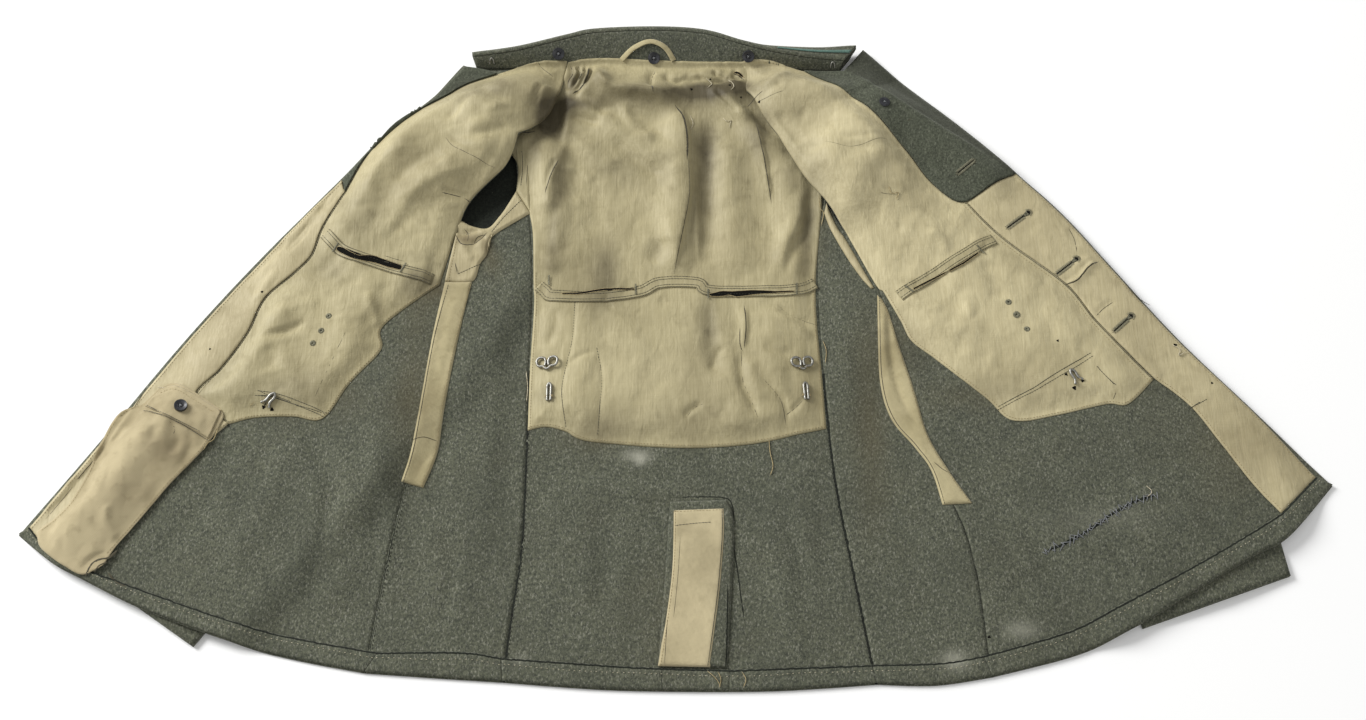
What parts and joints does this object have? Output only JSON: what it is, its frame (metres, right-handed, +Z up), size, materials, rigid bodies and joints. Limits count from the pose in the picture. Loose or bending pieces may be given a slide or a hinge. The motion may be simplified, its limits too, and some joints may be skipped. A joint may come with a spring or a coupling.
{
  "type": "military tunic",
  "caption": "Wool field tunic laid open flat, inside up: fan of panels with tan linings, strap casings, belt hooks, dressing pocket, turned-up hem and folded collar",
  "frame": {"origin": "on the table, under the middle of the laid-out tunic's box", "axes": "+X to the wearer's left front (the buttonhole side), +Y from the hem to the collar, +Z up out of the table towards the viewer of the inside"},
  "size_m": [1.3026, 0.7472, 0.0333],
  "materials": {
    "wool": "field-grey felted wool, heathered, matte",
    "lining": "tan rayon lining, a soft sheen",
    "cotton": "brownish cotton twill, matte, worn",
    "button": "blue-black pressed buttons, half gloss",
    "steel": "dull grey plated wire",
    "tape": "narrow grey-green woven tape"
  },
  "bodies": {
    "root": {"back_panel": "wool", "side_panel_right": "wool", "side_panel_left": "wool", "front_panel_right": "wool", "front_panel_left": "wool", "hem_right": "wool", "hem_side_right": "wool", "hem_back_right": "wool", "hem_back_left": "wool", "hem_side_left": "wool", "hem_left": "wool", "wool_facing_right": "wool", "wool_facing_left": "wool", "vent_facing": "wool", "sleeve_right_under": "wool", "sleeve_right_upper": "wool", "sleeve_left_under": "wool", "sleeve_left_upper": "wool", "collar_stand": "wool", "collar_leaf": "wool", "lining_back": "lining", "lining_front_right": "lining", "lining_front_left": "lining", "underarm_facing_right": "lining", "underarm_facing_left": "lining", "armhole_strip_right": "lining", "strap_casing_back": "lining", "strap_casing_right": "lining", "strap_casing_left": "lining", "facing_right": "cotton", "facing_left": "cotton", "strap_right": "cotton", "strap_left": "cotton", "vent_patch": "cotton", "dressing_pocket": "cotton", "dressing_pocket_band": "cotton", "hanger_loop": "cotton", "collar_button_right": "button", "collar_button_back": "button", "collar_button_left": "button", "lapel_button": "button", "pocket_button": "button", "belt_loop_right": "steel", "belt_loop_left": "steel", "belt_bar_right": "steel", "belt_bar_left": "steel", "front_hook_right": "steel", "front_hook_left": "steel", "collar_hook": "steel", "collar_eye": "steel", "collar_tape": "tape"}
  },
  "joints": []
}
